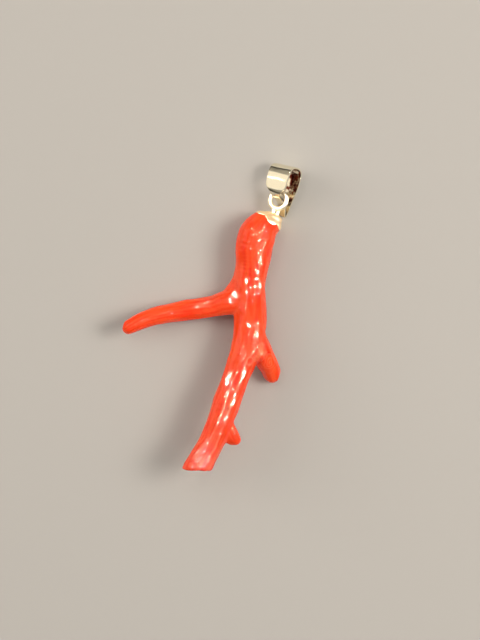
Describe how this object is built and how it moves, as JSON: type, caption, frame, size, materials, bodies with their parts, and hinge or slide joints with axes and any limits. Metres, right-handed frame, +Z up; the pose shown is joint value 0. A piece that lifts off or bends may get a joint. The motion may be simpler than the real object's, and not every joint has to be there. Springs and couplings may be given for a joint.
{
  "type": "red coral branch pendant",
  "caption": "Polished red coral branch with side branches, a flat sawn root end, and a pale gold cap, eye and strap bail at its top.",
  "frame": {"origin": "middle of the bounding box on the surface that the pendant lies on", "axes": "+Y along the pendant from the sawn root end towards the bail, +Z up from the surface, +X to the side of the short branch"},
  "size_m": [0.0312, 0.0602, 0.0109],
  "materials": {
    "coral": "polished, waxy gloss",
    "pale_gold": "polished"
  },
  "bodies": {
    "coral": {"trunk": "coral", "side_branch": "coral", "short_branch": "coral", "bell_cap": "pale_gold", "eye_ring": "pale_gold"},
    "bail": {"bail": "pale_gold"}
  },
  "joints": [
    {"name": "bail_swing", "type": "hinge", "parent": "coral", "child": "bail", "pos_m": [0.0061, 0.02492, 0.00307], "axis": [0.9336, 0, 0.3584], "range_deg": [-8, 32]}
  ]
}
